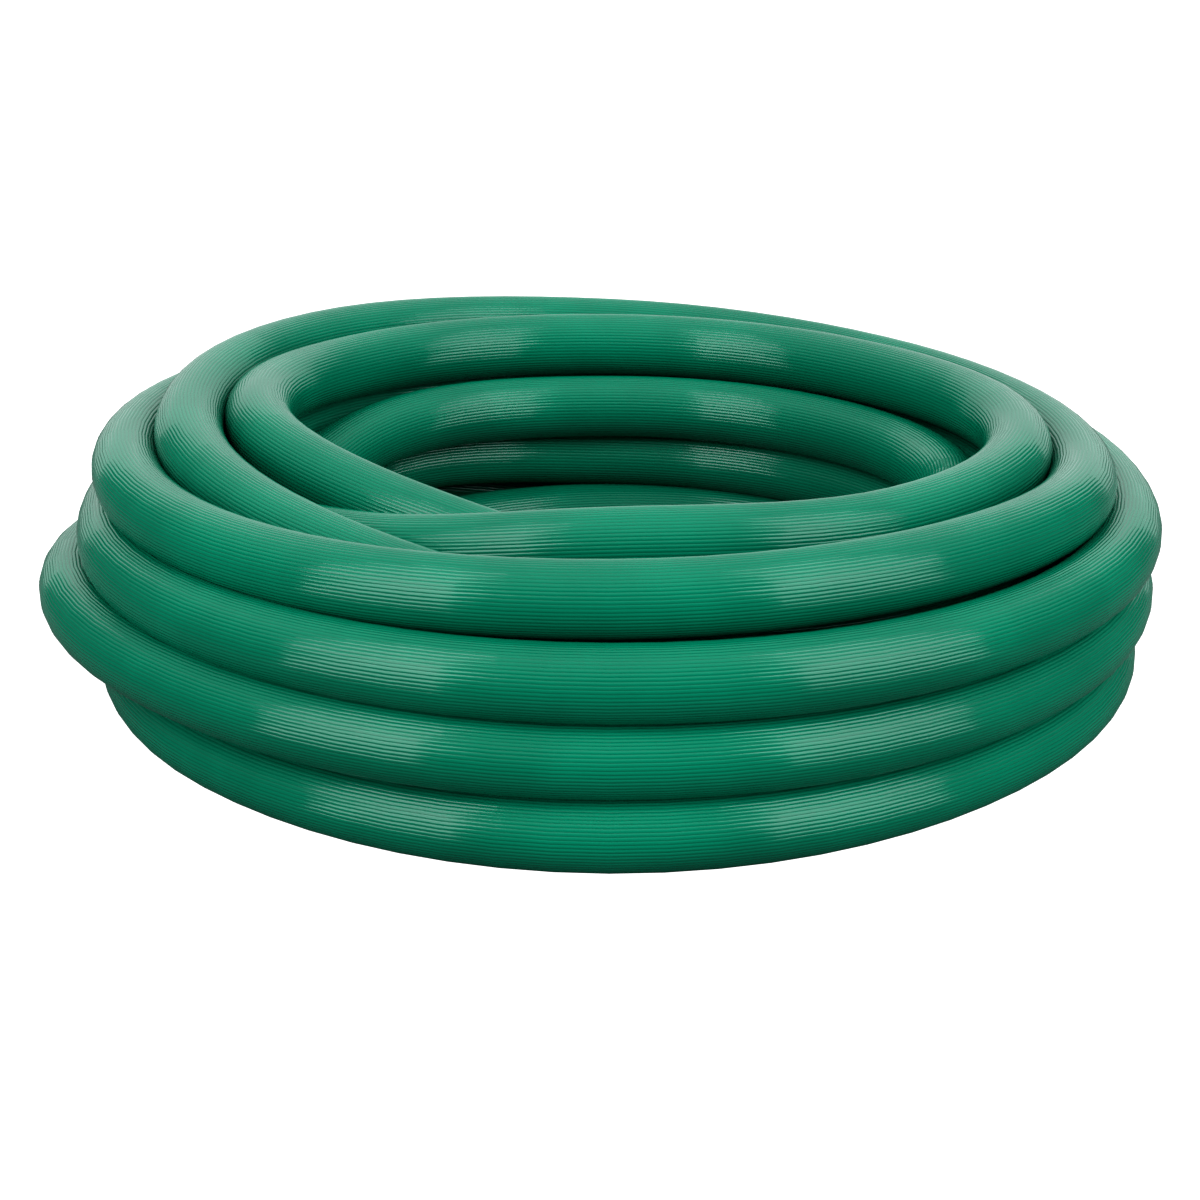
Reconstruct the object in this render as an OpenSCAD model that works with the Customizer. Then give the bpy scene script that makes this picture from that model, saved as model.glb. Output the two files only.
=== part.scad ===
// Coiled garden hose with a swivel inlet coupling and a capped outlet.
// The coil's axis is Z and it lies on the plane Z = 0. Lengths are in millimetres.

/* [Hose] */
// Outside diameter of the hose, over its ribs
hose_d = 26; // [25.5:0.1:26.5]
// Bore of the hose
bore_d = 19; // [18.8:0.1:19.2]
// Thickness of the inner liner
liner_t = 1.2; // [1:0.1:1.4]
// Thickness of the yarn braid between liner and cover
braid_t = 0.5; // [0.4:0.1:0.6]

/* [Coil] */
// Radius of the widest turn, measured at the middle of the hose
coil_r = 200; // [199:0.5:202]
// Length of hose that is held straight inside each ferrule
stub_len = 32; // [30:1:33]

/* [Couplings] */
// Outside diameter of the swivel nut and of the end cap
grip_d = 35; // [34.5:0.1:35.5]
// Outside diameter of the crimped ferrules
ferrule_d = 29.6; // [29:0.1:30.5]
// Diameter of the coupling thread, drawn as a plain cylinder
thread_d = 27; // [26.8:0.1:27.2]
// Depth of free thread in the swivel nut
thread_depth = 10; // [9:0.5:11]
// Length of the male thread on the outlet
spigot_len = 13; // [12:0.5:14]
// Waterway through both tails
waterway_d = 15; // [14:0.5:15.5]
// Hole through the flow restrictor
jet_d = 4; // [3:0.5:6]

/* [Hidden] */
$fn = 96;

hose_r = hose_d / 2;
bore_r = bore_d / 2;
liner_r = bore_r + liner_t;
braid_r = liner_r + braid_t;
grip_r = grip_d / 2;
ferrule_r = ferrule_d / 2;
thread_r = thread_d / 2;
slip = 0.05;            // radial clearance of a turning or screwed fit
seat = 0.2;             // gap round a washer that is free to turn
green = [0.0, 0.47, 0.36];
brass = [0.78, 0.62, 0.30];

// Each turn of the coil as [distance inside the widest turn, height], in hose diameters.
OUTER_TURNS = [[0.46, 0.5], [0, 1.42], [0.08, 2.36], [0.77, 3.2]];
TOP_TURN = [1.85, 3.53];
INNER_TURNS = [[2.4, 2.45], [2.1, 1.46], [2.1, 0.5]];
function turn_at(turn) = [coil_r - turn[0] * hose_d, turn[1] * hose_d];
TURNS = [for (turn = concat(OUTER_TURNS, [TOP_TURN], INNER_TURNS)) turn_at(turn)];
start_r = turn_at(OUTER_TURNS[0])[0];

// Where each end of the hose is cut, on the axis of its coupling, and the coupling's heading.
inlet_cut = [157, start_r, grip_r];
inlet_heading = 0;
outlet_cut = [78.5, -64, grip_r];
outlet_heading = 40;

// Route of the inlet end: from under the back of the coil to the ferrule.
function inlet_point(x, z) = [x, start_r, z];
INLET_ROUTE = [inlet_point(20, hose_r), inlet_point(50, hose_r), inlet_point(78, hose_r + 1),
               inlet_point(104, grip_r - 1), inlet_cut - [stub_len, 0, 0]];
// Route of the outlet end: off the lowest turn on one even bend, lifting to the ferrule as it comes.
bend_r = 111;
outlet_out = [cos(outlet_heading), sin(outlet_heading), 0];
ferrule_start = outlet_cut - stub_len * outlet_out;
bend_at = ferrule_start + bend_r * [-outlet_out.y, outlet_out.x, 0];
function lift(t) = t < 0 ? 0 : t * t * (3 - 2 * t);
OUTLET_ROUTE = [for (k = [0:10]) let (bearing = 180 + k / 10 * (90 + outlet_heading))
    [bend_at.x + bend_r * cos(bearing), bend_at.y + bend_r * sin(bearing),
     hose_r + (grip_r - hose_r) * lift((k - 6) / 4)]];

// Heading of a level route at point i, the mean of its two neighbouring spans.
function unit(v) = v / norm(v);
function heading(route, i, first, last) =
    i == 0 ? first : i == len(route) - 1 ? last : unit(route[i + 1] - route[i - 1]);
// A ring of the tube, square to the heading.
function ring(centre, way, r, sides) =
    let (side = unit(cross(way, [0, 0, 1])), top = cross(side, way))
    [for (k = [0:sides - 1]) centre + r * (cos(360 * k / sides) * side + sin(360 * k / sides) * top)];

// Closed tube swept along a route.
module tube(route, first, last, r, sides = 12) {
    rings = len(route);
    points = [for (i = [0:rings - 1]) each ring(route[i], heading(route, i, first, last), r, sides)];
    walls = [for (i = [0:rings - 2], k = [0:sides - 1])
        let (a = i * sides + k, b = i * sides + (k + 1) % sides)
        each [[a, b, b + sides], [a, b + sides, a + sides]]];
    caps = [[for (k = [sides - 1:-1:0]) k], [for (k = [0:sides - 1]) (rings - 1) * sides + k]];
    polyhedron(points, concat(walls, caps), convexity = 6);
}

// Puts a coupling part on the end of the hose: local Z runs out of the mouth, local 0 is the cut.
module at_inlet() { translate(inlet_cut) rotate([0, 90, inlet_heading]) children(); }
module at_outlet() { translate(outlet_cut) rotate([0, 90, outlet_heading]) children(); }

module pipe(outer, inner, from, to) {
    translate([0, 0, from]) difference() {
        cylinder(r = outer, h = to - from);
        translate([0, 0, -1]) cylinder(r = inner, h = to - from + 2);
    }
}

// The wound turns, as one closed ring with the turns' own outline.
module hose_coil() {
    color(green) rotate_extrude($fn = 180) {
        for (at = TURNS) translate(at) circle(r = hose_r);
        polygon(TURNS);
        translate([TURNS[len(TURNS) - 1][0], 0])
            square([start_r - TURNS[len(TURNS) - 1][0], 2 * hose_r]);
    }
}

module hose_inlet_run() {
    color(green) tube(INLET_ROUTE, [1, 0, 0], [1, 0, 0], hose_r);
}

module hose_outlet_run() {
    color(green) tube(OUTLET_ROUTE, [0, -1, 0], outlet_out, hose_r);
}

// The three layers of the hose wall, where the end is held straight by the ferrule.
module liner() { color([0.05, 0.09, 0.08]) pipe(liner_r, bore_r, -stub_len, 0); }
module braid() { color([0.9, 0.9, 0.86]) pipe(braid_r, liner_r, -stub_len, 0); }
module cover() { color(green) pipe(hose_r, braid_r, -stub_len, 0); }
module inlet_hose_liner() { at_inlet() liner(); }
module inlet_hose_braid() { at_inlet() braid(); }
module inlet_hose_cover() { at_inlet() cover(); }
module outlet_hose_liner() { at_outlet() liner(); }
module outlet_hose_braid() { at_outlet() braid(); }
module outlet_hose_cover() { at_outlet() cover(); }

// Crimped sleeve round the hose end, with a rolled lip at its open end.
ferrule_len = stub_len - 4;
module ferrule() {
    color(brass) rotate_extrude() {
        translate([hose_r, -ferrule_len]) square([ferrule_r - hose_r, ferrule_len]);
        translate([ferrule_r, -ferrule_len + 1.5]) circle(r = 1.5, $fn = 32);
    }
}
module inlet_ferrule() { at_inlet() ferrule(); }
module outlet_ferrule() { at_outlet() ferrule(); }

// Barbed shank that fills the hose bore.
shank_len = stub_len - 3;
barbs = 3;
barb_pitch = 8;
module shank() {
    translate([0, 0, -shank_len]) cylinder(r = bore_r - 0.6, h = shank_len);
    for (i = [1:barbs]) translate([0, 0, -shank_len + i * barb_pitch - 5])
        cylinder(r1 = bore_r - 0.6, r2 = bore_r, h = 4);
}

// Inlet tail: a stop flange, a neck for the nut to turn on and a head that holds the nut.
flange_t = 3;
neck_r = 11;
nut_lip_t = 4;
lip_gap = 0.3;
head_t = 3;
head_r = 12.9;
head_z = flange_t + nut_lip_t + 2 * lip_gap;
face_z = head_z + head_t;
module inlet_tail() {
    color(brass) at_inlet() difference() {
        union() {
            shank();
            cylinder(r = ferrule_r, h = flange_t);
            cylinder(r = neck_r, h = face_z);
            translate([0, 0, head_z]) cylinder(r = head_r, h = head_t);
        }
        translate([0, 0, -shank_len - 1]) cylinder(r = waterway_d / 2, h = shank_len + face_z + 2);
    }
}

// Swivel nut: an inner lip behind the head, a wider chamber for head and washer, then the thread.
washer_t = 3;
nut_bore_r = thread_r + 0.15;
chamber_r = nut_bore_r + 0.35;
nut_z = flange_t + lip_gap;
mouth_z = face_z + washer_t + thread_depth;
module swivel_nut() {
    color(brass) at_inlet() difference() {
        union() {
            translate([0, 0, nut_z]) cylinder(r = grip_r - 1.5, h = mouth_z - nut_z);
            translate([0, 0, nut_z + 1.5]) cylinder(r = grip_r, h = mouth_z - nut_z - 5);
        }
        translate([0, 0, nut_z - 1]) cylinder(r = neck_r + slip, h = nut_lip_t + 2);
        translate([0, 0, nut_z + nut_lip_t])
            cylinder(r = chamber_r, h = face_z + washer_t - nut_z - nut_lip_t);
        translate([0, 0, nut_z + nut_lip_t + 1]) cylinder(r = nut_bore_r, h = mouth_z);
    }
}

// Sealing ring against the head of the tail. The restrictor sits inside it.
washer_hole_r = 9;
module inlet_washer() {
    color([0.07, 0.07, 0.07]) at_inlet()
        pipe(nut_bore_r - seat, washer_hole_r, face_z + slip, face_z + washer_t);
}

restrictor_t = 2;
module flow_restrictor() {
    color([0.85, 0.85, 0.82]) at_inlet()
        pipe(washer_hole_r - slip, jet_d / 2, face_z + 0.5, face_z + 0.5 + restrictor_t);
}

// Outlet tail: a hexagon for a spanner, then the male thread.
hex_r = 17;
hex_t = 8;
spigot_z = hex_t + spigot_len;
module outlet_tail() {
    color(brass) at_outlet() difference() {
        union() {
            shank();
            cylinder(r = hex_r, h = hex_t, $fn = 6);
            cylinder(r = thread_r - slip, h = spigot_z);
        }
        translate([0, 0, -shank_len - 1]) cylinder(r = waterway_d / 2, h = shank_len + spigot_z + 2);
    }
}

cap_washer_t = 2;
cap_wall_t = 2.5;
cap_z = hex_t + 0.5;
cap_floor_z = spigot_z + cap_washer_t + 2 * slip;
module cap_washer() {
    color([0.07, 0.07, 0.07]) at_outlet()
        translate([0, 0, spigot_z + slip]) cylinder(r = thread_r - seat, h = cap_washer_t);
}

module end_cap() {
    color(brass) at_outlet() difference() {
        union() {
            translate([0, 0, cap_z]) cylinder(r = grip_r, h = cap_floor_z + cap_wall_t - cap_z - 2);
            translate([0, 0, cap_z]) cylinder(r = grip_r - 2, h = cap_floor_z + cap_wall_t - cap_z);
        }
        translate([0, 0, cap_z - 1]) cylinder(r = thread_r, h = cap_floor_z - cap_z + 1);
    }
}

hose_coil();
hose_inlet_run();
hose_outlet_run();
inlet_hose_liner();
inlet_hose_braid();
inlet_hose_cover();
outlet_hose_liner();
outlet_hose_braid();
outlet_hose_cover();
inlet_ferrule();
inlet_tail();
swivel_nut();
inlet_washer();
flow_restrictor();
outlet_ferrule();
outlet_tail();
end_cap();
cap_washer();
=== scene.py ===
# A coil of ribbed garden hose with a swivel inlet coupling and a capped outlet.
# The coil's axis is Z and it lies on the floor at Z = 0. Blender's lengths are metres;
# outlines and routes are written in millimetres and scaled by mm.
from math import cos, pi, radians, sin

import bmesh
import bpy
from mathutils import Matrix, Vector


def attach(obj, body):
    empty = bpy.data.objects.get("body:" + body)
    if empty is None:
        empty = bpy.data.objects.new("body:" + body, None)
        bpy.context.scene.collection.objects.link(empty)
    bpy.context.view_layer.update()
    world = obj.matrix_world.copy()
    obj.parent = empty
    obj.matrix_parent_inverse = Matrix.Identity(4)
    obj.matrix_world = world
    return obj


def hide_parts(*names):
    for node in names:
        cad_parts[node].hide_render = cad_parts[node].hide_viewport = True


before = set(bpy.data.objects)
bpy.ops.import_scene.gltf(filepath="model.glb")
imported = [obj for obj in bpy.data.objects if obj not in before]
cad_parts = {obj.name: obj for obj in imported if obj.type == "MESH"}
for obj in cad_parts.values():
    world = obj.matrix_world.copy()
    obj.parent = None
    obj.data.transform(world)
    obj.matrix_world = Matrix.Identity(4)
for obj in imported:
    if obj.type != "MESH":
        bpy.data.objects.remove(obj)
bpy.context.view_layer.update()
mm = 0.001
scene = bpy.context.scene


# ---------------------------------------------------------------- camera
# A long lens about a metre away, 18 degrees above the table and square to the coil's front.
camera_data = bpy.data.cameras.new("camera")
camera_data.lens = 81.15
camera_data.sensor_width = 36
camera = bpy.data.objects.new("camera", camera_data)
camera.location = (0, -0.9836, 0.3763)
camera_aim = Vector((-0.0036, -0.0105, 0.0252))
camera.rotation_euler = (camera_aim - camera.location).to_track_quat("-Z", "Y").to_euler()
scene.collection.objects.link(camera)
scene.camera = camera


# ---------------------------------------------------------------- hose
# Nine turns of 19 mm bore hose: a green PVC cover, extruded with fine lengthwise ribs, over a
# yarn braid and a black liner. It was wound by hand, so no two turns lie quite alike, and its
# two ends are held straight for the length of the ferrules.
hose_r = 13
rib_count = 60
rib_depth = 0.18
stub_len = 32
braid_r = 11.2
grip_r = 17.5

# The middle of each turn as (radius, height) at eight bearings, from the left side of the coil
# round by its front: four turns up the outside, three that wander over the top, two inside.
turns = {
    "floor": [(181, 13), (187, 13), (196, 13), (189, 13), (187, 13), (184, 13), (161, 13), (172, 31)],
    "second": [(201, 39), (197, 40), (195, 38), (193, 38), (192, 39), (191, 41), (189, 45), (203, 55)],
    "third": [(188, 59), (190, 62), (193, 63), (195, 63), (194, 62), (198, 65), (199, 69), (191, 76)],
    "fourth": [(182, 81), (176, 82), (176, 85), (176, 84), (177, 77), (178, 78), (180, 84), (174, 92)],
    "filler": [(159, 91), (148, 81), (149, 66), (156, 61), (156, 58), (160, 56), (160, 57), (160, 64)],
    "crown": [(150, 66), (126, 73), (125, 86), (140, 85), (154, 85), (153, 83), (156, 83), (151, 86)],
    "chord": [(132, 91), (102, 79), (98, 66), (115, 64), (131, 63), (136, 61), (135, 61), (133, 61)],
    "inner": [(133, 43), (139, 39), (142, 39), (142, 39), (142, 38), (142, 37), (143, 37), (147, 40)],
    "lowest": [(156, 15), (150, 13), (143, 13), (142, 13), (143, 13), (142, 13), (135, 13), (131, 13)],
}
start_r = 188.04
inlet_cut = (157, start_r, grip_r)
inlet_heading = radians(0)
outlet_cut = (78.5, -64, grip_r)
outlet_heading = radians(40)
outlet_out = Vector((cos(outlet_heading), sin(outlet_heading), 0))
inlet_route = [(20, start_r, hose_r), (50, start_r, hose_r), (78, start_r, 14), (104, start_r, 16.5),
               (125, start_r, grip_r)]

# The outlet end leaves the lowest turn on one even bend, and lifts to the ferrule as it comes.
bend_r = 111
ferrule_start = Vector(outlet_cut) - outlet_out * stub_len
bend_x = ferrule_start[0] - bend_r * sin(outlet_heading)
bend_y = ferrule_start[1] + bend_r * cos(outlet_heading)
outlet_route = []
for k in range(11):
    bearing = pi + k / 10 * (pi / 2 + outlet_heading)
    lift = max(0, (k - 6) / 4)
    outlet_route.append((bend_x + bend_r * cos(bearing), bend_y + bend_r * sin(bearing),
                         hose_r + (grip_r - hose_r) * lift ** 2 * (3 - 2 * lift)))


def through(points, steps):
    """Points on a smooth line through the given ones, steps of them to each span."""
    line = []
    for i in range(1, len(points) - 2):
        before, a, b, after = (Vector(point) for point in points[i - 1:i + 3])
        for step in range(steps):
            t = step / steps
            line.append((a * 2 + (b - before) * t + (before * 2 - a * 5 + b * 4 - after) * t ** 2
                         + (a * 3 - b * 3 + after - before) * t ** 3) / 2)
    return line


# The turns are smoothed as radius and height, so that a span of an eighth of a turn stays round.
stations = [(start_r, 13), (190, 13)] + [station for turn in turns.values() for station in turn]
stations += [(128.4, 13), (131, 13)]
coil_line = []
for i, (radius, height) in enumerate(through([stations[0]] + stations, 9)):
    bearing = radians(90 + 45 * i / 9)
    coil_line.append((radius * cos(bearing), radius * sin(bearing), max(height, hose_r)))
inlet_straight = [inlet_cut, (141, start_r, grip_r)] + inlet_route[::-1]
inlet_line = through([(173, start_r, grip_r)] + inlet_straight + [coil_line[0], coil_line[5]], 2)
outlet_straight = [tuple(Vector(outlet_cut) - outlet_out * 16), outlet_cut]
outlet_tail_point = tuple(Vector(outlet_cut) + outlet_out * 16)
outlet_line = through([coil_line[-2]] + outlet_route + outlet_straight + [outlet_tail_point], 3)
hose_path = [Vector(point) * mm for point in inlet_line + coil_line[:-1] + outlet_line]
hose_path.append(Vector(outlet_cut) * mm)


# The extrusion die's outline: a crest and a groove for each rib.
die = bpy.data.curves.new("hose_die", "CURVE")
die_spline = die.splines.new("POLY")
die_spline.points.add(2 * rib_count - 1)
die_spline.use_cyclic_u = True
for i, point in enumerate(die_spline.points):
    angle = pi * i / rib_count
    radius = (hose_r - rib_depth * (i % 2 == 0)) * mm
    point.co = (radius * cos(angle), radius * sin(angle), 0, 1)
die_object = bpy.data.objects.new("hose_die", die)
scene.collection.objects.link(die_object)
lay = bpy.data.curves.new("hose_lay", "CURVE")
lay.dimensions = "3D"
lay.twist_mode = "Z_UP"
lay.bevel_mode = "OBJECT"
lay.bevel_object = die_object
lay_spline = lay.splines.new("POLY")
lay_spline.points.add(len(hose_path) - 1)
for point, middle in zip(lay_spline.points, hose_path):
    point.co = (*middle, 1)
lay_object = bpy.data.objects.new("hose_lay", lay)
scene.collection.objects.link(lay_object)
bpy.context.view_layer.update()
laid = lay_object.evaluated_get(bpy.context.evaluated_depsgraph_get())
hose_mesh = bpy.data.meshes.new_from_object(laid)
hose_mesh.name = "hose"
for spare in (lay_object, die_object):
    bpy.data.objects.remove(spare)

# Both ends are bored out to take the liner, braid and barbed shank.
bm = bmesh.new()
bm.from_mesh(hose_mesh)
bmesh.ops.remove_doubles(bm, verts=bm.verts, dist=0.01 * mm)
for end, inside in ((hose_path[0], hose_path[1]), (hose_path[-1], hose_path[-2])):
    rim = [edge for edge in bm.edges
           if edge.is_boundary and (edge.verts[0].co - end).length < 2 * hose_r * mm]
    for shrink, shift in ((braid_r / hose_r, 0), (1, 1.02 * stub_len * mm)):
        made = bmesh.ops.extrude_edge_only(bm, edges=rim)["geom"]
        moved = [vert for vert in made if isinstance(vert, bmesh.types.BMVert)]
        rim = [edge for edge in made if isinstance(edge, bmesh.types.BMEdge) and edge.is_boundary]
        bmesh.ops.scale(bm, vec=(shrink,) * 3, verts=moved, space=Matrix.Translation(-end))
        bmesh.ops.translate(bm, vec=(inside - end).normalized() * shift, verts=moved)
    bmesh.ops.holes_fill(bm, edges=rim, sides=0)
bmesh.ops.recalc_face_normals(bm, faces=bm.faces)
bm.to_mesh(hose_mesh)
bm.free()
hose_mesh.shade_smooth()
hose_mesh.set_sharp_from_angle(angle=radians(50))
hose = bpy.data.objects.new("hose", hose_mesh)
scene.collection.objects.link(hose)
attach(hose, "hose")
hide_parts("hose_coil", "hose_inlet_run", "hose_outlet_run", "inlet_hose_cover",
            "outlet_hose_cover")


class Shade:
    """One output of a material's nodes. Arithmetic on it adds Math nodes."""

    def __init__(self, material, socket=None):
        self.material = material
        self.socket = socket

    def node(self, kind, inputs=(), output=0, **settings):
        """Adds any node: its settings first, then the values or links of its sockets."""
        made = self.material.node_tree.nodes.new(kind)
        for name, value in settings.items():
            setattr(made, name, value)
        for name, value in dict(inputs).items():
            if isinstance(value, Shade):
                self.material.node_tree.links.new(value.socket, made.inputs[name])
            else:
                made.inputs[name].default_value = value
        return Shade(self.material, made.outputs[output])

    def maths(self, operation, *values):
        return self.node("ShaderNodeMath", dict(enumerate(values)), operation=operation)

    def __add__(self, other):
        return self.maths("ADD", self, other)

    def __radd__(self, other):
        return self.maths("ADD", other, self)

    def __sub__(self, other):
        return self.maths("SUBTRACT", self, other)

    def __rsub__(self, other):
        return self.maths("SUBTRACT", other, self)

    def __mul__(self, other):
        return self.maths("MULTIPLY", self, other)

    def __pow__(self, other):
        return self.maths("POWER", self, other)

    def between(self, low, high):
        """0 below low, 1 above high and a smooth step in between."""
        return self.node("ShaderNodeMapRange", {"Value": self, "From Min": low, "From Max": high},
                         interpolation_type="SMOOTHSTEP")


def new_material(name, **constants):
    """A material with a Principled shader, whose constant sockets are set by name."""
    material = bpy.data.materials.new(name)
    material.use_nodes = True
    shader = material.node_tree.nodes["Principled BSDF"]
    for socket, value in constants.items():
        shader.inputs[socket.replace("_", " ")].default_value = value
    shade = Shade(material)
    return material, shader, shade


def feed(shader, **links):
    for socket, shade in links.items():
        shade.material.node_tree.links.new(shade.socket, shader.inputs[socket.replace("_", " ")])


# Plasticised PVC, semi-gloss and dyed right through. The map's second axis runs round the hose,
# so its fraction of a rib rounds every crest, paints the grooves between the ribs a darker green
# as painted shade, and makes a few ribs duller than their neighbours.
cover_pvc, shader, shade = new_material("cover_pvc", Specular_IOR_Level=0.24)
object_map = shade.node("ShaderNodeTexCoord", output="Object")
lay_map = shade.node("ShaderNodeTexCoord", output="UV")
around = shade.node("ShaderNodeSeparateXYZ", {"Vector": lay_map}, output=1)
wave = shade.maths("SINE", around * rib_count * pi)
crest = shade.maths("ABSOLUTE", wave)
cloud = shade.node("ShaderNodeTexNoise", {"Vector": object_map, "Scale": 16, "Detail": 4})
grain = shade.node("ShaderNodeTexNoise", {"Vector": object_map, "Scale": 1100, "Detail": 2})
streak_map = shade.node("ShaderNodeMapping", {"Vector": lay_map, "Scale": (80, 75, 1)})
streak = shade.node("ShaderNodeTexNoise", {"Vector": streak_map, "Scale": 1, "Detail": 2})
green = shade.node("ShaderNodeMix", {"Factor": cloud.between(0.35, 0.7), 6: (0.0, 0.115, 0.069, 1),
                                     7: (0.0, 0.14, 0.084, 1)}, output=2, data_type="RGBA")
# Painted shade: the grooves between the ribs are coloured a darker green than the crests.
groove_shaded_green = shade.node("ShaderNodeMix", {"Factor": crest.between(0.05, 0.45), 6: (0.0, 0.09, 0.055, 1),
                                     7: green}, output=2, data_type="RGBA")
ribs = shade.node("ShaderNodeBump", {"Height": crest + streak * 0.2, "Distance": 0.14 * mm, "Strength": 1})
feed(shader, Base_Color=groove_shaded_green, Normal=ribs,
     Roughness=0.12 - crest.between(0.3, 0.9) * 0.07 + streak.between(0.4, 0.75) * 0.08 + grain * 0.03)
hose_mesh.materials.clear()
hose_mesh.materials.append(cover_pvc)


# ---------------------------------------------------------------- hose wall
# Inside each ferrule the hose is clamped as three layers: the green cover outside, a polyester
# yarn braid wound both ways round, and a smooth black liner that carries the water.
liner_pvc, shader, shade = new_material("liner_pvc", Specular_IOR_Level=0.45)
object_map = shade.node("ShaderNodeTexCoord", output="Object")
cloud = shade.node("ShaderNodeTexNoise", {"Vector": object_map, "Scale": 120, "Detail": 3})
black = shade.node("ShaderNodeMix", {"Factor": cloud, 6: (0.012, 0.014, 0.014, 1),
                                     7: (0.03, 0.034, 0.033, 1)}, output=2, data_type="RGBA")
feed(shader, Base_Color=black, Roughness=0.35 + cloud * 0.2)


def axis_map(shade, cut, heading):
    """Distance along a coupling's axis, angle round it and distance from it, in metres."""
    centred = shade.node("ShaderNodeVectorMath", {0: shade.node("ShaderNodeTexCoord", output="Object"),
                                                  1: Vector(cut) * mm}, operation="SUBTRACT")
    turned_back = shade.node("ShaderNodeVectorRotate", {"Vector": centred, "Angle": -heading},
                             rotation_type="Z_AXIS")
    along, across, up = (shade.node("ShaderNodeSeparateXYZ", {"Vector": turned_back}, output=i)
                         for i in range(3))
    out = (across * across + up * up) ** 0.5
    return along, shade.maths("ARCTAN2", across, up), out


def braid_yarn(name, cut, heading):
    """White yarns wound both ways at 54 degrees, with the black liner in the gaps."""
    material, shader, shade = new_material(name, Roughness=0.75, Sheen_Weight=0.2)
    along, angle, _ = axis_map(shade, cut, heading)
    left = shade.maths("SINE", angle * 16 + along * 1000)
    right = shade.maths("SINE", angle * 16 - along * 1000)
    yarn = shade.maths("MAXIMUM", left, right)
    white = shade.node("ShaderNodeMix", {"Factor": yarn.between(-0.1, 0.35), 6: (0.02, 0.024, 0.024, 1),
                                         7: (0.78, 0.78, 0.74, 1)}, output=2, data_type="RGBA")
    relief = shade.node("ShaderNodeBump", {"Height": yarn, "Distance": 0.2 * mm, "Strength": 0.8})
    feed(shader, Base_Color=white, Normal=relief)
    return material


for end, cut, heading in (("inlet", inlet_cut, inlet_heading), ("outlet", outlet_cut, outlet_heading)):
    for layer, finish in (("liner", liner_pvc), ("braid", braid_yarn(end + "_braid_yarn", cut, heading))):
        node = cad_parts[end + "_hose_" + layer]
        node.data.materials.clear()
        node.data.materials.append(finish)


# ---------------------------------------------------------------- ferrules
# Thin drawn brass sleeves. Each is slid over the hose end, its open lip already rolled outwards,
# and then squeezed at eight places round it, which grips the hose on the barbs inside.
def on_coupling(cut, heading):
    """Where a coupling's own axis, Z out of its mouth, lies on the model."""
    turn = Matrix.Rotation(heading, 4, "Z") @ Matrix.Rotation(pi / 2, 4, "Y")
    return Matrix.Translation(Vector(cut) * mm) @ turn


at_inlet = on_coupling(inlet_cut, inlet_heading)
at_outlet = on_coupling(outlet_cut, outlet_heading)


def turned(outline, steps=72, closed=True, rounding=0.15):
    """A lathe-turned solid from its outline, (along, radius) in millimetres, with eased edges."""
    bm = bmesh.new()
    verts = [bm.verts.new((radius * mm, 0, along * mm)) for along, radius in outline]
    edges = [bm.edges.new(pair) for pair in zip(verts, verts[1:])]
    if closed:
        edges.append(bm.edges.new((verts[-1], verts[0])))
    bmesh.ops.spin(bm, geom=verts + edges, axis=(0, 0, 1), cent=(0, 0, 0), dvec=(0, 0, 0),
                   angle=2 * pi, steps=steps, use_merge=True, use_duplicate=False)
    bmesh.ops.remove_doubles(bm, verts=bm.verts, dist=0.001 * mm)
    bmesh.ops.recalc_face_normals(bm, faces=bm.faces)
    sharp = [edge for edge in bm.edges if edge.is_manifold and edge.calc_face_angle() > radians(28)]
    if rounding:
        bmesh.ops.bevel(bm, geom=sharp, offset=rounding * mm, affect="EDGES", segments=2, profile=0.5,
                        material=-1)
    return bm


def fitted(bm, name, matrix, body, node, material):
    """Finishes a shape as a piece: set on its coupling, smoothed, and standing for its CAD node."""
    bmesh.ops.recalc_face_normals(bm, faces=bm.faces)
    bmesh.ops.transform(bm, matrix=matrix, verts=bm.verts)
    mesh = bpy.data.meshes.new(name)
    bm.to_mesh(mesh)
    bm.free()
    mesh.shade_smooth()
    mesh.set_sharp_from_angle(angle=radians(38))
    mesh.materials.append(material)
    piece = bpy.data.objects.new(name, mesh)
    scene.collection.objects.link(piece)
    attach(piece, body)
    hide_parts(node)
    return piece


def brass(name, cut, heading, bright, dull, roughness, line_depth):
    """Bare brass with fine lathe lines and a patchy brown tarnish."""
    material, shader, shade = new_material(name, Metallic=1)
    along, _, out = axis_map(shade, cut, heading)
    rings = shade.node("ShaderNodeCombineXYZ", {"X": along * 4200, "Y": out * 4200})
    lines = shade.node("ShaderNodeTexNoise", {"Vector": rings, "Scale": 1, "Detail": 3})
    object_map = shade.node("ShaderNodeTexCoord", output="Object")
    tarnish = shade.node("ShaderNodeTexNoise", {"Vector": object_map, "Scale": 90, "Detail": 6})
    specks = shade.node("ShaderNodeTexNoise", {"Vector": object_map, "Scale": 900, "Detail": 2})
    stain = tarnish.between(0.45, 0.75) * 0.7 + specks.between(0.6, 0.8) * 0.3
    colour = shade.node("ShaderNodeMix", {"Factor": stain, 6: bright, 7: dull}, output=2, data_type="RGBA")
    relief = shade.node("ShaderNodeBump", {"Height": lines, "Distance": line_depth * mm, "Strength": 0.6})
    feed(shader, Base_Color=colour, Roughness=roughness + stain * 0.25 + lines * 0.08, Normal=relief)
    return material


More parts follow.
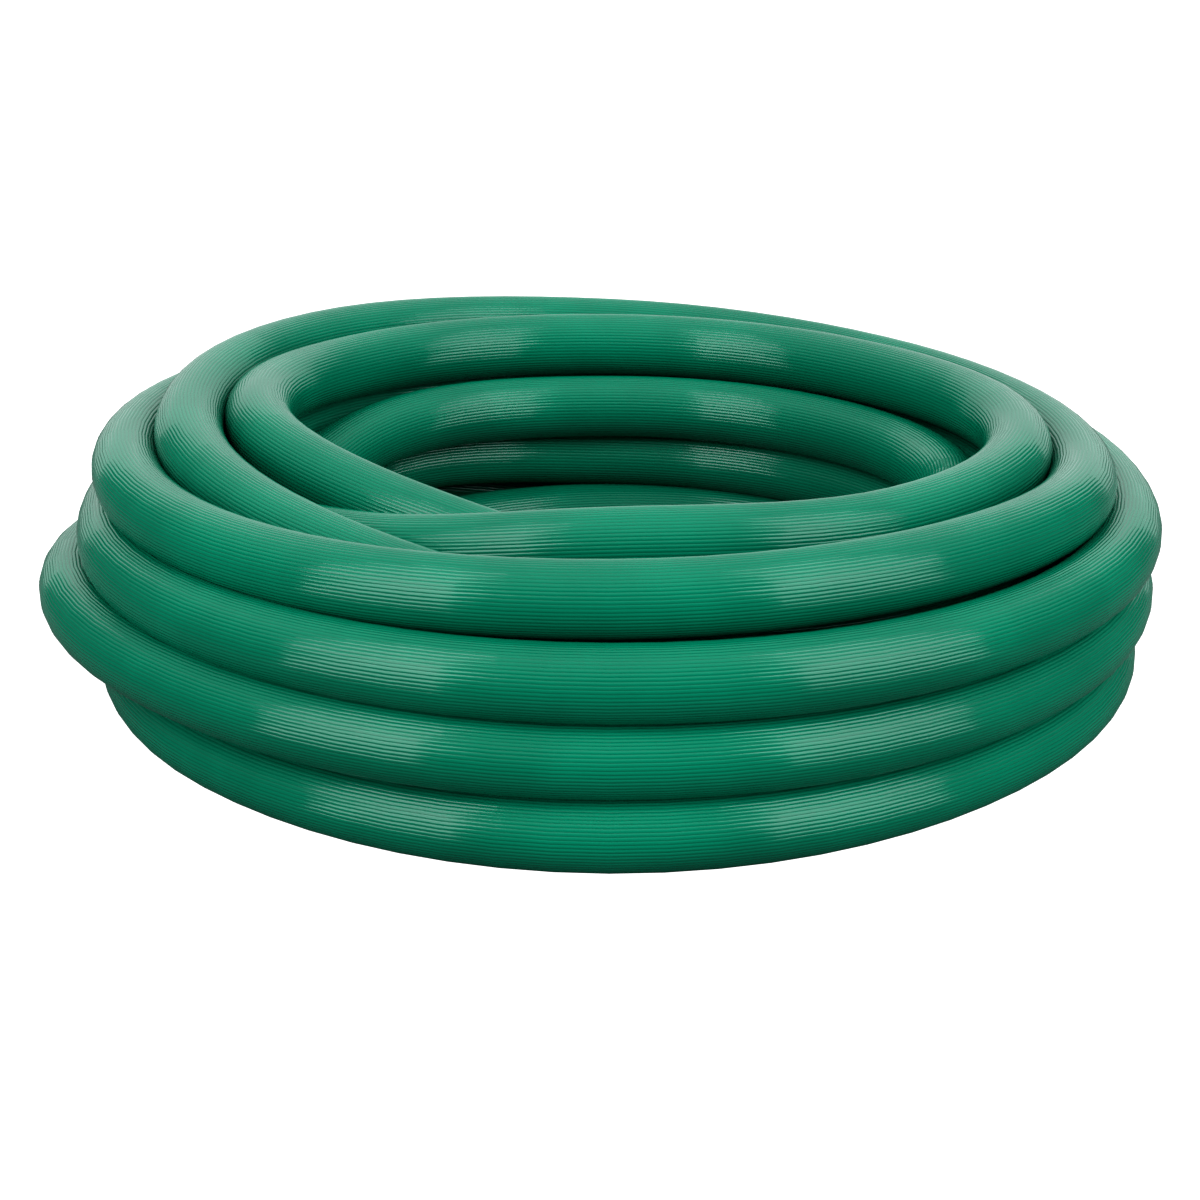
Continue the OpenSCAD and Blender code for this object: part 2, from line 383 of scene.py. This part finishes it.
ferrule_len = 28
ferrule_r = 14.8
lip_r = 1.5
crimps = 8
crimp_depth = 1
for end, cut, heading, matrix in (("inlet", inlet_cut, inlet_heading, at_inlet),
                                  ("outlet", outlet_cut, outlet_heading, at_outlet)):
    lip = [(-ferrule_len + lip_r - lip_r * cos(radians(a)), ferrule_r + lip_r * sin(radians(a)))
           for a in range(0, 181, 20)]
    pressed_from, pressed_to = -22, -4
    outline = [(-ferrule_len, 13)] + lip + [(pressed_from, ferrule_r), (pressed_from + 2, ferrule_r),
                                            (pressed_to - 2, ferrule_r), (pressed_to, ferrule_r),
                                            (0, ferrule_r), (0, 13)]
    bm = turned(outline, steps=96, rounding=0.2)
    for vert in bm.verts:
        if pressed_from + 1 < vert.co.z / mm < pressed_to - 1 and vert.co.xy.length > 14 * mm:
            squeeze = min(1, max(0, 2.5 * cos(crimps * vert.co.xy.angle_signed(Vector((1, 0))))))
            vert.co.xy *= 1 - squeeze * crimp_depth / ferrule_r
    crimped_brass = brass(end + "_crimped_brass", cut, heading, (0.87, 0.68, 0.36, 1),
                          (0.5, 0.33, 0.15, 1), 0.2, 0.004)
    fitted(bm, end + "_ferrule_crimped", matrix, "hose", end + "_ferrule", crimped_brass)


# ---------------------------------------------------------------- inlet tail
# Turned from brass bar: three barbs in the hose bore, a stop flange against the ferrule, a neck
# for the nut to turn on, and a head that holds the nut and takes the washer on its face.
bore = 7.5
barbed = [(-29, bore), (-29, 8.9), (-26, 8.9), (-22, 9.5), (-21.8, 8.9), (-18, 8.9), (-14, 9.5),
          (-13.8, 8.9), (-10, 8.9), (-6, 9.5), (-5.8, 8.9), (0, 8.9)]
inlet_brass = brass("inlet_turned_brass", inlet_cut, inlet_heading, (0.83, 0.62, 0.29, 1),
                    (0.42, 0.27, 0.12, 1), 0.22, 0.01)
bm = turned(barbed + [(0, 14.8), (3, 14.8), (3, 11), (7.6, 11), (7.6, 12.9), (10.6, 12.9), (10.6, 8.3),
                      (9.8, bore)])
fitted(bm, "inlet_tail_turned", at_inlet, "hose", "inlet_tail", inlet_brass)


# ---------------------------------------------------------------- swivel nut
# A brass nut held behind the tail's head. It turns freely, has 30 raised grips to hold it by, and
# is threaded inside for the tap.
thread_pitch = 2.209


def thread(bm, root, crest, start, threads, width):
    """Adds a helical ridge from radius root to radius crest, with its two ends closed."""
    steps = 40 * threads
    flank = (root, start), (crest, start + width * 0.35), (crest, start + width * 0.6), (root, start + width)
    verts = [bm.verts.new((radius * mm, 0, along * mm)) for radius, along in flank]
    edges = [bm.edges.new(pair) for pair in zip(verts, verts[1:] + verts[:1])]
    made = bmesh.ops.spin(bm, geom=verts + edges, axis=(0, 0, 1), cent=(0, 0, 0),
                          dvec=(0, 0, thread_pitch * mm / 40), angle=2 * pi * threads, steps=steps,
                          use_merge=False, use_duplicate=False)["geom_last"]
    for loop in (edges, [edge for edge in made if isinstance(edge, bmesh.types.BMEdge)]):
        bmesh.ops.contextual_create(bm, geom=loop)


def raised_grips(bm, radius, start, stop, columns, inset, height):
    """Raises every second column of a turned wall, between two places along it."""
    wall = []
    for face in bm.faces:
        middle = face.calc_center_median()
        column = int((middle.xy.angle_signed(Vector((1, 0))) % (2 * pi)) / (2 * pi) * columns)
        if middle.xy.length > radius * mm and start < middle.z / mm < stop and column % 2 == 0:
            wall.append(face)
    bmesh.ops.inset_individual(bm, faces=wall, thickness=inset * mm, depth=height * mm)


bm = turned([(3.3, 11.05), (3.3, 15.2), (4.3, 16.3), (5.3, 16.5), (19.6, 16.5), (21, 16.5), (22.6, 16.1),
             (23.6, 15.2), (23.6, 14.5), (22.9, 14.3), (13.6, 14.3), (13.4, 14), (7.3, 14), (7.3, 11.05)],
            steps=60, rounding=0)
raised_grips(bm, 16.4, 5.3, 19.6, 60, 0.22, 0.95)
thread(bm, 14.4, 13.7, 14.2, 3, 1.5)
fitted(bm, "swivel_nut_gripped", at_inlet, "nut", "swivel_nut", inlet_brass)


# ---------------------------------------------------------------- inlet washer
# A black rubber ring, punched from sheet and pressed into the nut against the tail's head.
rubber, shader, shade = new_material("washer_rubber", Specular_IOR_Level=0.35)
object_map = shade.node("ShaderNodeTexCoord", output="Object")
bloom = shade.node("ShaderNodeTexNoise", {"Vector": object_map, "Scale": 260, "Detail": 4})
pores = shade.node("ShaderNodeTexNoise", {"Vector": object_map, "Scale": 2600, "Detail": 2})
grey = shade.node("ShaderNodeMix", {"Factor": bloom.between(0.4, 0.8), 6: (0.013, 0.013, 0.014, 1),
                                    7: (0.05, 0.05, 0.048, 1)}, output=2, data_type="RGBA")
relief = shade.node("ShaderNodeBump", {"Height": pores, "Distance": 0.02 * mm, "Strength": 0.7})
feed(shader, Base_Color=grey, Roughness=0.55 + bloom * 0.25, Normal=relief)
bm = turned([(10.65, 9), (10.65, 13.45), (13.6, 13.45), (13.6, 9)], rounding=0.35)
fitted(bm, "inlet_washer_ring", at_inlet, "nut", "inlet_washer", rubber)


# ---------------------------------------------------------------- flow restrictor
# A moulded plastic disc that snaps into the washer. Its small jet keeps the pressure in the hose
# low; a rim and a boss stiffen it.
acetal, shader, shade = new_material("restrictor_plastic", Specular_IOR_Level=0.5,
                                     Subsurface_Weight=0.1)
object_map = shade.node("ShaderNodeTexCoord", output="Object")
cloud = shade.node("ShaderNodeTexNoise", {"Vector": object_map, "Scale": 300, "Detail": 3})
ivory = shade.node("ShaderNodeMix", {"Factor": cloud, 6: (0.72, 0.71, 0.66, 1), 7: (0.82, 0.81, 0.77, 1)},
                   output=2, data_type="RGBA")
feed(shader, Base_Color=ivory, Roughness=0.32 + cloud * 0.12)
bm = turned([(11.1, 2), (11.1, 3.2), (11.5, 3.4), (11.5, 7.3), (11.1, 7.5), (11.1, 8.95), (13.1, 8.95),
             (13.1, 7.5), (12.7, 7.3), (12.7, 3.4), (13.1, 3.2), (13.1, 2)], steps=48, rounding=0.1)
fitted(bm, "flow_restrictor_disc", at_inlet, "nut", "flow_restrictor", acetal)


# ---------------------------------------------------------------- outlet tail
# The other tail: the same barbed shank, a hexagon to hold with a spanner, and a male thread that
# takes the end cap or a further length of hose.
outlet_brass = brass("outlet_turned_brass", outlet_cut, outlet_heading, (0.83, 0.62, 0.29, 1),
                     (0.42, 0.27, 0.12, 1), 0.22, 0.01)
bm = turned(barbed + [(0, 13), (8.6, 13), (9, 12.6), (20, 12.6), (21, 11.8), (21, 8.3), (20.2, bore)])
thread(bm, 12.5, 13.4, 9.3, 4, 1.3)
hexagon = turned([(0.05, 12.5), (0.05, 17), (8, 17), (8, 12.5)], steps=6, rounding=0.6)
hexagon_mesh = bpy.data.meshes.new("hexagon")
hexagon.to_mesh(hexagon_mesh)
hexagon.free()
bm.from_mesh(hexagon_mesh)
bpy.data.meshes.remove(hexagon_mesh)
outlet_tail = fitted(bm, "outlet_tail_threaded", at_outlet, "hose", "outlet_tail",
                     outlet_brass)


# ---------------------------------------------------------------- cap washer
# A flat rubber disc loose in the bottom of the end cap, which seals on the outlet's rim.
bm = turned([(21.05, 0), (21.05, 13.3), (23.05, 13.3), (23.05, 0)], closed=False, rounding=0.3)
fitted(bm, "cap_washer_disc", at_outlet, "cap_seal", "cap_washer", rubber)


# ---------------------------------------------------------------- end cap
# A brass cap screwed on the outlet, which closes the hose so that it fills and weeps. It has 24
# raised grips and a dished end.
bm = turned([(23.1, 0), (23.1, 13.5), (22.6, 14.2), (9.3, 14.2), (8.5, 14.7), (8.5, 15.6), (9.4, 16.5),
             (22.4, 16.5), (23.6, 16.3), (25, 15.2), (25.6, 13.8), (25.6, 12.6), (25.1, 11.4), (25.1, 0)],
            steps=48, closed=False, rounding=0)
raised_grips(bm, 16.4, 9.4, 22.4, 48, 0.3, 0.95)
thread(bm, 14.3, 13.55, 10.2, 4, 1.4)
end_cap = fitted(bm, "end_cap_gripped", at_outlet, "cap", "end_cap", outlet_brass)


# ---------------------------------------------------------------- floor and light
# A white table under two tall softboxes left and right of the camera and a white wall behind.
floor_mesh = bpy.data.meshes.new("floor")
bm = bmesh.new()
bmesh.ops.create_grid(bm, x_segments=1, y_segments=1, size=6)
bm.to_mesh(floor_mesh)
bm.free()
floor = bpy.data.objects.new("floor", floor_mesh)
scene.collection.objects.link(floor)
table_white, shader, shade = new_material("table_white", Base_Color=(0.1, 0.1, 0.1, 1), Roughness=0.9,
                                          Emission_Color=(1, 1, 1, 1))
feed(shader, Emission_Strength=shade.node("ShaderNodeLightPath", output="Is Camera Ray") * 0.88)
floor_mesh.materials.append(table_white)


def softbox(name, azimuth, distance, width, low, high, power):
    """An upright rectangular lamp facing the coil. Azimuth 0 is the camera's side."""
    lamp = bpy.data.lights.new(name, "AREA")
    lamp.shape = "RECTANGLE"
    lamp.size = width
    lamp.size_y = high - low
    lamp.energy = power
    lamp_object = bpy.data.objects.new(name, lamp)
    a = radians(azimuth)
    lamp_object.location = (distance * sin(a), -distance * cos(a), (low + high) / 2)
    lamp_object.rotation_euler = (pi / 2, 0, a)
    scene.collection.objects.link(lamp_object)


softbox("softbox_left", -49, 1.9, 1.1, 0.0, 3.2, 62)
softbox("softbox_right", 54, 1.9, 1.3, 0.0, 3.2, 66)
softbox("wall_light", 180, 2.2, 3.6, 0.0, 1.7, 16)
# The room is brightest overhead and dim at table height. The camera sees it plain white.
world = bpy.data.worlds.new("studio")
world.use_nodes = True
background = world.node_tree.nodes["Background"]
background.inputs["Color"].default_value = (1, 1, 1, 1)
room = Shade(world)
height = room.node("ShaderNodeSeparateXYZ", {"Vector": room.node("ShaderNodeTexCoord")}, output=2)
seen = room.node("ShaderNodeLightPath", output="Is Camera Ray")
level = seen + (1 - seen) * (0.04 + height.between(0.1, 1) * 1.25)
world.node_tree.links.new(level.socket, background.inputs["Strength"])
scene.world = world
scene.view_settings.view_transform = "Standard"
scene.view_settings.look = "High Contrast"
